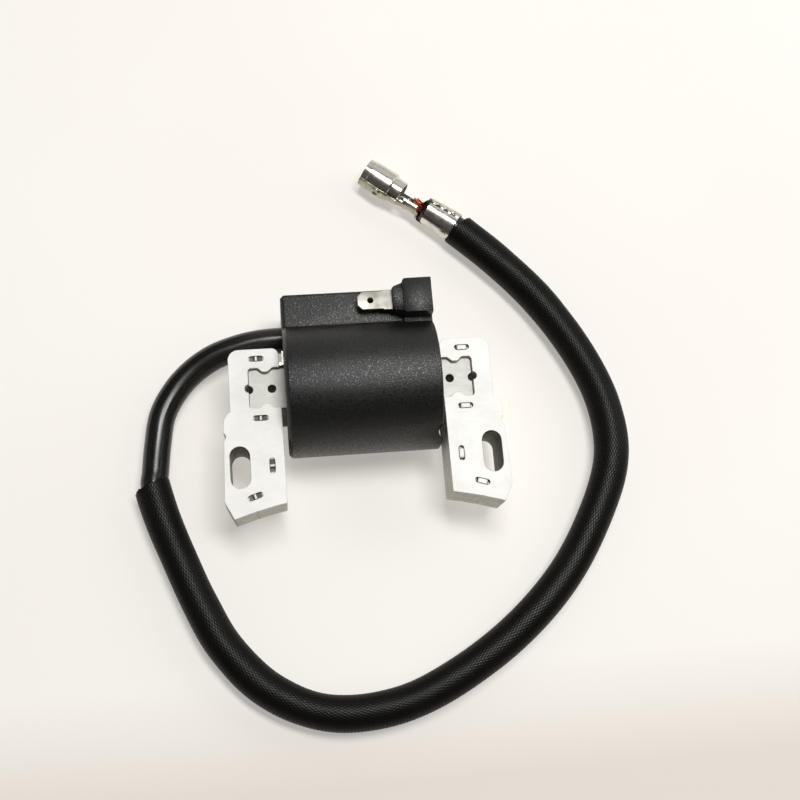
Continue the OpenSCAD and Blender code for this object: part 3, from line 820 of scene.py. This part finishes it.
slot_hole = slot_loop(SLOT_AT, SLOT_LEN, SLOT_W, 90, 16)
lance_holes = [slot_loop((x, y), LANCE_LEN, LANCE_W, a, 5) for x, y, a in LANCES]
for side, name in ((-1, "left_leg"), (1, "right_leg")):
    leg = stack(name + "_plates", [leg_loop(), slot_hole], lance_holes, LEG_PLATES, LEG_T, side, True)
    keep(leg, LEG_STEEL, (name,), smooth=False)
    # The second material is painted shade in the slot and the interlocks.
    leg.data.materials.append(HOLE_SHADE_STEEL)
    paint_hole_shade(leg)

bar_half = bar_edge(0.0)
bar_lower = [(x, -y) for x, y in bar_half[::-1]]
end_cut = arc((BAR_HALF, 0), RIVET_R, 91, 269, 12)
right_half = bar_half + end_cut + bar_lower
left_half = [(-x, y) for x, y in right_half[::-1]]
bar_holes = [circle((RIVET_X, 0), RIVET_R), circle((-RIVET_X, 0), RIVET_R)]
bar = stack("core_bar_plates", [right_half + left_half] + bar_holes, [], BAR_PLATES, BAR_T, 1, False)
keep(bar, BAR_STEEL, ("core_bar",), smooth=False)

# ---------------- housing


def case_profile():
    """Barrel and block in section: (y, z) points round the case, from the bar's centre."""
    start = math.degrees(math.asin(BACK_Z / BARREL_R))
    crease = math.degrees(math.asin(BLOCK_TOP / BARREL_R))
    points = arc((0, 0), BARREL_R, 180 - start, crease, 96)
    points += [(BARREL_R * math.cos(math.radians(crease)) + 0.35, BLOCK_TOP)]
    points += arc((BLOCK_Y - 0.8, BLOCK_TOP - 0.8), 0.8, 90, 0, 6)
    points += [(BLOCK_Y, BACK_Z)]
    return points


def inset_profile(points, by):
    """The profile moved inwards by a distance."""
    made = []
    count = len(points)
    for i, (y, z) in enumerate(points):
        before, after = points[i - 1], points[(i + 1) % count]
        a = Vector((y - before[0], z - before[1])).normalized()
        b = Vector((after[0] - y, after[1] - z)).normalized()
        na, nb = Vector((a.y, -a.x)), Vector((b.y, -b.x))
        mid = (na + nb).normalized()
        reach = by / max(0.35, mid.dot(na))
        made.append((y + mid.x * reach, z + mid.y * reach))
    return made


def case_bmesh():
    profile = case_profile()
    bm = bmesh.new()
    left_rim = [(0.0, 1.0), (0.1, 0.72), (0.75, 0.12), (0.95, 0.0)]
    right_rim = [(0.3, 0.0), (0.22, 0.06), (0.06, 0.22), (0.0, 0.36)]
    xs = [(-END_X + d, inset) for d, inset in left_rim] + [(END_X - d, inset) for d, inset in right_rim]
    rings = []
    for x, inset in xs:
        ring = inset_profile(profile, inset)
        rings.append([bm.verts.new((x, y, max(z, BACK_Z))) for y, z in ring])
    bridge(bm, rings)
    bm.faces.new(rings[0])
    bm.faces.new(rings[-1][::-1])
    return bm


def block_bmesh(low, high):
    bm = bmesh.new()
    bmesh.ops.create_cube(bm, size=1)
    low, high = Vector(low), Vector(high)
    for v in bm.verts:
        v.co = Vector([(low[i] + high[i]) / 2 + v.co[i] * (high[i] - low[i]) for i in range(3)])
    return bm


def prism_bmesh(points, low, high, taper):
    """A prism along Z from an outline, drawn in by taper at its top."""
    bm = bmesh.new()
    centre = Vector((sum(p[0] for p in points) / len(points), sum(p[1] for p in points) / len(points)))
    lower = [bm.verts.new((x, y, low)) for x, y in points]
    upper = []
    for x, y in points:
        inward = (centre - Vector((x, y))).normalized() * taper
        upper.append(bm.verts.new((x + inward.x, y + inward.y, high)))
    for k in range(len(points)):
        n = (k + 1) % len(points)
        bm.faces.new((lower[k], lower[n], upper[n], upper[k]))
    bm.faces.new(lower[::-1])
    bm.faces.new(upper)
    return bm


def rod_bmesh(start, end, r, steps=48):
    """A cylinder between two points."""
    start, end = Vector(start), Vector(end)
    bm = bmesh.new()
    length = (end - start).length
    bmesh.ops.create_cone(bm, cap_ends=True, segments=steps, radius1=r, radius2=r, depth=length)
    turn = (end - start).to_track_quat("Z", "Y").to_matrix().to_4x4()
    bm.transform(Matrix.Translation((start + end) / 2) @ turn)
    return bm


def combine(target, bm, how, at=(0, 0, 0)):
    """Boolean of an object with a bmesh that is moved by at."""
    tool = mesh_object("tool", bm, at)
    change = target.modifiers.new("combine", "BOOLEAN")
    change.operation = how
    change.solver = "MANIFOLD"
    change.object = tool
    applied(target)
    bpy.data.objects.remove(tool)


CONNECTOR_X = 11.7
CONNECTOR_Y = (15.9, 25.3)
CONNECTOR_TOP = 12.95
NECK_X = 9.0

def ledge_bmesh():
    """The round-edged step between the connector and the barrel."""
    x0, x1, low = 12.1, END_X - 0.05, 3.0
    y0, y1, top, r = 14.2, CONNECTOR_Y[0] + 1, BLOCK_TOP + 1.2, 0.8
    section = [(y1, low), (y1, top)] + arc((y0 + r, top - r), r, 90, 180, 8) + [(y0, low)]
    bm = bmesh.new()
    ends = [[bm.verts.new((x, y, z)) for y, z in section] for x in (x0, x1)]
    for k in range(len(section)):
        n = (k + 1) % len(section)
        bm.faces.new((ends[0][k], ends[0][n], ends[1][n], ends[1][k]))
    bm.faces.new(ends[0][::-1])
    bm.faces.new(ends[1])
    return bm


housing = mesh_object("housing_shell", case_bmesh(), AXIS)
connector_outline = [(CONNECTOR_X, CONNECTOR_Y[0] + 0.5), (CONNECTOR_X + 0.5, CONNECTOR_Y[0]),
                     (END_X - 0.03, CONNECTOR_Y[0]), (END_X - 0.03, CONNECTOR_Y[1]),
                     (CONNECTOR_X + 0.5, CONNECTOR_Y[1]), (CONNECTOR_X, CONNECTOR_Y[1] - 0.5)]
neck_outline = [(NECK_X, CONNECTOR_Y[0] + 1.5), (NECK_X + 0.6, CONNECTOR_Y[0] + 1.1),
                (CONNECTOR_X + 1, CONNECTOR_Y[0] + 0.7), (CONNECTOR_X + 1, CONNECTOR_Y[1] - 0.7),
                (NECK_X + 0.6, CONNECTOR_Y[1] - 1.7), (NECK_X, CONNECTOR_Y[1] - 2.2)]
for block in (prism_bmesh(connector_outline, 2, CONNECTOR_TOP, 0.25),
              prism_bmesh(neck_outline, 5, CONNECTOR_TOP - 0.9, 0.2),
              ledge_bmesh()):
    combine(housing, block, "UNION", AXIS)

# Hollow of the case, open at the back, the tube windows, the lead's socket, end notch and slit
INNER_X = END_X - WALL
END_NOTCH = (19.75, -14.2)
END_NOTCH_R = 1.6
SOCKET_R = LEAD_D / 2 + 0.12
exit_y, exit_z = LEAD_EXIT[1] - AXIS_Y, LEAD_EXIT[2] - AXIS_Z
for hollow in (rod_bmesh((-INNER_X, 0, 0), (INNER_X, 0, 0), BARREL_R - WALL, 96),
               block_bmesh((-INNER_X - 0.02, -7.4, BACK_Z - 1),
                           (INNER_X + 0.02, BLOCK_Y - WALL, BLOCK_TOP - WALL)),
               block_bmesh((-END_X - 2, -WINDOW_W / 2, BACK_Z - 2),
                           (END_X + 2, WINDOW_W / 2, WINDOW_W / 2)),
               rod_bmesh((-END_X - 2, exit_y, exit_z), (-END_X + 4, exit_y, exit_z), SOCKET_R),
               rod_bmesh((*END_NOTCH, -4), (*END_NOTCH, 14), END_NOTCH_R),
               block_bmesh((-END_X - 1, 9.35, 1.45), (-END_X + 3, 9.85, 5.25))):
    combine(housing, hollow, "DIFFERENCE", AXIS)
rounding = housing.modifiers.new("edges", "BEVEL")
rounding.width = 0.28 * MM
rounding.segments = 3
rounding.limit_method = "ANGLE"
rounding.angle_limit = math.radians(28)
rounding.harden_normals = True
rounding.use_clamp_overlap = True
applied(housing)
keep(housing, CASE, ("housing",))

# ---------------- kill blade

BLADE_AT = (0.2, 20.4, 10.05)
BLADE_W = 4.75
BLADE_T = 0.8
BLADE_ROOT_W = 5.3
BLADE_ROOT_X = 14.0
BLADE_HOLE = 3.5


def blade_bmesh():
    x0, y, z = BLADE_AT
    half, root = BLADE_W / 2, BLADE_ROOT_W / 2
    shoulder = x0 + 6.5
    loop = [(x0, -half + 1.2), (x0 + 1.2, -half), (shoulder, -half), (shoulder + 0.15, -root),
            (BLADE_ROOT_X, -root), (BLADE_ROOT_X, root), (shoulder + 0.15, root), (shoulder, half),
            (x0 + 1.2, half), (x0, half - 1.2)]
    loop = [(px, y + py) for px, py in loop]
    hole = circle((BLADE_HOLE, y), 0.75, 24)
    bm = plate_bmesh([loop[::-1], hole], z - BLADE_T / 2, z + BLADE_T / 2, 0.12, 2)
    merge(bm, block_bmesh((BLADE_ROOT_X - BLADE_T, y - 2.6, 2.4), (BLADE_ROOT_X, y - 0.4, z - 0.3)))
    return bm


blade = mesh_object("kill_blade", blade_bmesh(), AXIS)
keep(blade, TIN, ("kill_terminal",), smooth=False)

# ---------------- plug clip

# Measured from the end of the lead towards the mouth, with angles from +Z towards the clip's +Y
CLIP_AT = Vector(ROUTE[-1])
CLIP_AHEAD = CLIP_AT - Vector(ROUTE[-2])
CLIP_TURN = Matrix.Rotation(math.atan2(CLIP_AHEAD.y, CLIP_AHEAD.x), 4, "Z")
SHEET_T = 0.45
CRIMP = (-9.9, -0.95)
SEAM = -15.0
NECK_R = 1.9
NECK_ROOT_R = 3.98
NECK_GAP = (-62.0, -4.0)
NECK_SHIFT = (1.15, -0.4)
COLLAR_X = 7.7
BARREL_X = 11.0
MOUTH_X = 17.9
CLIP_END = 19.7
SPRING_AT = 70.0
BUTTON_X = 13.9
NOTCH_AT = 84.0
DENT_X = -8.0
DENT_AT = 84.0
BUTTON_Z = 4.34


def about_x(x, angle, r):
    """The point at radius r round the X axis, with its angle in degrees from +Z."""
    a = math.radians(angle)
    return (x, r * math.sin(a), r * math.cos(a))


def shell_bmesh(rows, thickness):
    """Closed bent sheet from rows of (x, angle in degrees, outer radius)."""
    bm = bmesh.new()
    outer = [[bm.verts.new(about_x(*p)) for p in row] for row in rows]
    inner = [[bm.verts.new(about_x(x, angle, r - thickness)) for x, angle, r in row] for row in rows]
    last, edge = len(rows) - 1, len(rows[0]) - 1
    for i in range(last):
        for k in range(edge):
            bm.faces.new((outer[i][k], outer[i][k + 1], outer[i + 1][k + 1], outer[i + 1][k]))
            bm.faces.new((inner[i][k], inner[i + 1][k], inner[i + 1][k + 1], inner[i][k + 1]))
        for k in (0, edge):
            bm.faces.new((outer[i][k], outer[i + 1][k], inner[i + 1][k], inner[i][k]))
    for k in range(edge):
        for i in (0, last):
            bm.faces.new((outer[i][k], inner[i][k], inner[i][k + 1], outer[i][k + 1]))
    return bm


def lathe_bmesh(profile, steps=96):
    """A closed profile of (x, r) points turned about X."""
    bm = bmesh.new()
    rings = []
    for k in range(steps):
        rings.append([bm.verts.new(about_x(x, 360 * k / steps, r)) for x, r in profile])
    bridge(bm, rings + rings[:1])
    return bm


def crimp_bmesh():
    """Wings rolled round the lead: a straight edge, and a scalloped one that meets it."""
    rows = []
    steps, columns, lobes = 84, 60, 4
    for i in range(steps + 1):
        t = i / steps
        x = CRIMP[0] + (CRIMP[1] - CRIMP[0]) * t
        r = 4.22 - 0.4 * ease(t) + 0.06 * math.exp(-t * 18)
        f = (0.04 + 0.92 * t) * lobes
        lobe = abs(math.sin(math.pi * f)) ** 0.5
        end = 360 + SEAM - 1.5 - 19 * (1 - lobe)
        base = 360 + SEAM - 32
        row = []
        angles = [SEAM + (base - SEAM) * k / columns for k in range(columns)]
        angles += [base + (end - base) * k / 8 for k in range(9)]
        for angle in angles:
            curl = max(0.0, 1 - (end - angle) / 22) ** 1.6
            away = ((x - DENT_X) / 0.75) ** 2 + ((angle - DENT_AT) / 11) ** 2
            dent = 0.34 * math.exp(-away)
            ring = 0.14 * math.exp(-(away - 2.2) ** 2)
            under = max(0.0, -math.cos(math.radians(angle - SEAM)))
            waist = 0.16 * math.exp(-((x + 5.4) / 0.9) ** 2) * under
            row.append((x, angle, r - 0.7 * curl - dent + ring - waist))
        rows.append(row)
    return shell_bmesh(rows, SHEET_T)


def neck_share(x):
    """How far the neck has gone from the crimp's round to the channel's, from 0 to 1."""
    return ease(min(1.0, max(0.0, (x - 0.15) / 1.5)))


def neck_bmesh():
    """Channel from the crimp to the collar, open on top."""
    rows = []
    steps, columns = 40, 40
    for i in range(steps + 1):
        x = -1.4 + (COLLAR_X + 0.3 + 1.4) * i / steps
        t = neck_share(x)
        r = NECK_ROOT_R + (NECK_R - NECK_ROOT_R) * t
        first = 112 + (NECK_GAP[1] - 112) * t
        last = 250 + (360 + NECK_GAP[0] - 250) * t
        rows.append([(x, first + (last - first) * k / columns, r) for k in range(columns + 1)])
    bm = shell_bmesh(rows, SHEET_T * 0.9)
    for v in bm.verts:
        t = neck_share(v.co.x)
        v.co.y += NECK_SHIFT[0] * t
        v.co.z += NECK_SHIFT[1] * t
    return bm


def barrel_bmesh():
    """Collar, barrel and mouth band."""
    r = 4.2
    outer = [(COLLAR_X, 3.12), (COLLAR_X, 3.42), (COLLAR_X + 0.08, 3.5), (BARREL_X - 0.35, 3.5),
             (BARREL_X - 0.2, 3.56), (BARREL_X - 0.1, r - 0.25), (BARREL_X + 0.05, r - 0.06),
             (BARREL_X + 0.2, r), (MOUTH_X - 0.14, r), (MOUTH_X - 0.04, r - 0.08), (MOUTH_X, r - 0.24),
             (MOUTH_X + 0.14, r - 0.24), (MOUTH_X + 0.24, r - 0.12),
             (CLIP_END - 0.12, r - 0.2), (CLIP_END, r - 0.32)]
    inner = [(CLIP_END, 3.5), (CLIP_END - 0.15, 3.3), (BARREL_X + 0.3, 3.3), (BARREL_X - 0.1, 3.05)]
    return lathe_bmesh(outer + inner)


def side_turn(angle):
    """Turns +Z to an angle round the clip's axis."""
    return Matrix.Rotation(-math.radians(angle), 4, "X")


clip = mesh_object("clip_barrel", barrel_bmesh())
groove = block_bmesh((BARREL_X - 1, -1.42, 3.98), (CLIP_END + 1, 1.42, 6))
groove.transform(side_turn(SPRING_AT))
combine(clip, groove, "DIFFERENCE")
window = rod_bmesh((BUTTON_X, 0, 2.5), (BUTTON_X, 0, 6), 1.15, 32)
window.transform(side_turn(SPRING_AT))
combine(clip, window, "DIFFERENCE")
neck = mesh_object("clip_neck", neck_bmesh())
notch = block_bmesh((6.1, -2.0, 1.2), (7.75, 2.0, 5))
notch.transform(side_turn(NOTCH_AT))
combine(neck, notch, "DIFFERENCE")
ball = bmesh.new()
bmesh.ops.create_uvsphere(ball, u_segments=20, v_segments=12, radius=0.5)
ball.transform(Matrix.Translation((5.0, 0.75, 0.9)))
crimp = mesh_object("clip_crimp", crimp_bmesh())
clip = joined("plug_clip", [clip, crimp, neck, mesh_object("clip_dimple", ball)])
clip.data.transform(Matrix.Translation(CLIP_AT * MM) @ CLIP_TURN)
keep(clip, NICKEL, ("plug_terminal",))


def smooth_by_angle(obj, angle):
    """Smooth faces, with edges sharper than the angle kept crisp."""
    obj.data.shade_smooth()
    bm = bmesh.new()
    bm.from_mesh(obj.data)
    for edge in bm.edges:
        if len(edge.link_faces) == 2 and edge.calc_face_angle() > math.radians(angle):
            edge.smooth = False
    bm.to_mesh(obj.data)
    bm.free()


smooth_by_angle(clip, 32)


def spring_bmesh():
    """Flat spring along the clip's side, with the rimmed button that clicks into the plug."""
    path = [(19.62, 4.3, 1.25), (19.2, 4.16, 1.3), (18.0, 4.16, 1.3), (16.6, 4.28, 1.3),
            (14.0, 4.34, 1.3), (12.0, 4.3, 1.28), (11.0, 4.24, 1.1), (10.1, 4.1, 0.9),
            (9.2, 3.98, 0.7), (7.4, 3.84, 0.6),
            (6.0, 3.66, 0.6), (4.6, 3.4, 0.7), (3.0, 3.2, 0.8), (1.6, 3.3, 0.8), (0.7, 3.6, 0.8)]
    section = ((-1, -0.07), (-0.9, 0.0), (0, 0.02), (0.9, 0.0), (1, -0.07), (1, -0.28), (0, -0.3),
               (-1, -0.28))
    line = smooth_route([(x, 0, z) for x, z, _ in path], 0.3)
    bm = bmesh.new()
    rows = []
    for p in line:
        place = min(range(len(path)), key=lambda k: abs(path[k][0] - p.x))
        w = path[place][2]
        rows.append([bm.verts.new((p.x, y * w, p.z + dz)) for y, dz in section])
    bridge(bm, rows)
    bm.faces.new(rows[0])
    bm.faces.new(rows[-1][::-1])
    rim = [(0.0, -0.06), (0.4, -0.05), (0.58, 0.06), (0.76, 0.27), (0.98, 0.33), (1.16, 0.26),
           (1.26, 0.05), (1.28, -0.15)]
    button = bmesh.new()
    steps = 40
    centre = button.verts.new((0, 0, rim[0][1]))
    rings = [[button.verts.new((x, y, z)) for x, y in circle((0, 0), r, steps)] for r, z in rim[1:]]
    for k in range(steps):
        button.faces.new((centre, rings[0][k], rings[0][(k + 1) % steps]))
    bridge(button, rings)
    button.faces.new(rings[-1][::-1])
    button.transform(Matrix.Translation((BUTTON_X, 0, BUTTON_Z)))
    merge(bm, button)
    bm.transform(side_turn(SPRING_AT))
    return bm


clip_spring = mesh_object("clip_spring", spring_bmesh(), CLIP_AT, CLIP_TURN)
keep(clip_spring, SPRING, ("detent_spring",))
smooth_by_angle(clip_spring, 35)


def strand_bmesh():
    """Copper strands folded back over the end of the lead, and a few that lie in the channel."""
    bm = bmesh.new()
    folded, straight = 22, 6
    for k in range(folded):
        start = 360 * k / folded
        to = 2 + 5.8 * k + rng.uniform(-4, 4)
        out = rng.uniform(0.5, 1.75)
        tip = to + rng.uniform(-5, 5)
        tip_r = 3.3 + 0.3 * rng.random()
        points = [about_x(-0.8, start, 0.75), about_x(0.1, start, 0.8),
                  about_x(out, (start + 2 * to) / 3, 1.5), about_x(out * 1.05, to, 2.4),
                  about_x(out * 0.8, tip, 3.05),
                  about_x(out * 0.6 + 0.15, to + rng.uniform(-6, 6), tip_r)]
        merge(bm, tube_bmesh(smooth_route(points, 0.22), 0.14, 8))
    for k in range(straight):
        angle = -22 + 9 * k + rng.uniform(-3, 3)
        reach = rng.uniform(2.6, 3.9)
        end_r = rng.uniform(1.7, 2.1)
        points = [about_x(-0.8, angle + 40, 0.5), about_x(0.4, angle, 0.9), about_x(1.5, angle, 1.6),
                  about_x(reach, angle + rng.uniform(-8, 8), end_r)]
        merge(bm, tube_bmesh(smooth_route(points, 0.22), 0.17, 8))
    return bm


strands = mesh_object("copper_strands", strand_bmesh(), CLIP_AT, CLIP_TURN)
keep(strands, COPPER)

# ---------------- pieces kept from the CAD

finishes = {
    "potting": RESIN,
    "primary_bobbin": BOBBIN,
    "primary_winding": wound("enamelled_copper", (0.60, 0.22, 0.09), 0.45),
    "primary_wrap": moulded("insulating_tape", (0.52, 0.38, 0.10), 0.3, 0.8, 0.015),
    "secondary_bobbin": moulded("secondary_bobbin_plastic", (0.62, 0.58, 0.47), 0.45, 0.5, 0.02),
    "secondary_winding": wound("fine_copper_wire", (0.42, 0.13, 0.05), 0.12),
    "primary_leads": COPPER,
    "circuit_board": moulded("board_laminate", (0.025, 0.11, 0.04), 0.32, 0.45, 0.02),
    "power_transistor": moulded("epoxy_package", (0.012, 0.012, 0.013), 0.42, 0.16, 0.015),
    "control_chip": moulded("chip_package", (0.010, 0.010, 0.011), 0.4, 0.12, 0.012),
    "bias_resistors": moulded("resistor_body", (0.50, 0.38, 0.22), 0.35, 0.7, 0.012),
    "capacitor": moulded("capacitor_body", (0.55, 0.22, 0.04), 0.35, 0.5, 0.02),
    "ground_spring": SPRING,
    "hv_contact": BRASS,
    "hv_output_wire": COPPER,
    "lead_conductor": COPPER,
}
for name, material in finishes.items():
    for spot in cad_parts[name].material_slots:
        spot.material = material

# ---------------- floor


def floor_plane():
    bm = bmesh.new()
    bmesh.ops.create_grid(bm, x_segments=1, y_segments=1, size=4000)
    return bm


floor = mesh_object("floor", floor_plane(), (0, 0, -0.02))
floor_paint = Paint("floor_paper", (0.56, 0.55, 0.52), 0.9, Specular_IOR_Level=0.1,
                    Emission_Color=(1.0, 0.965, 0.90, 1), Emission_Strength=0.38)
floor_tone = floor_paint.noise((0.006, 0.006, 0.006), 2.0)
floor_y = floor_paint.node("SeparateXYZ", None, i0=floor_paint.place()).outputs[1]
paper = floor_paint.ramp(floor_tone, (0.3, (0.60, 0.58, 0.555)), (0.7, (0.63, 0.62, 0.59)))
paper_share = floor_paint.span(floor_y, -96, -68, 0, 1)
floor_paint.set("Base Color", floor_paint.mix(paper_share, (0.45, 0.40, 0.36), paper))
floor.data.materials.append(floor_paint.material)
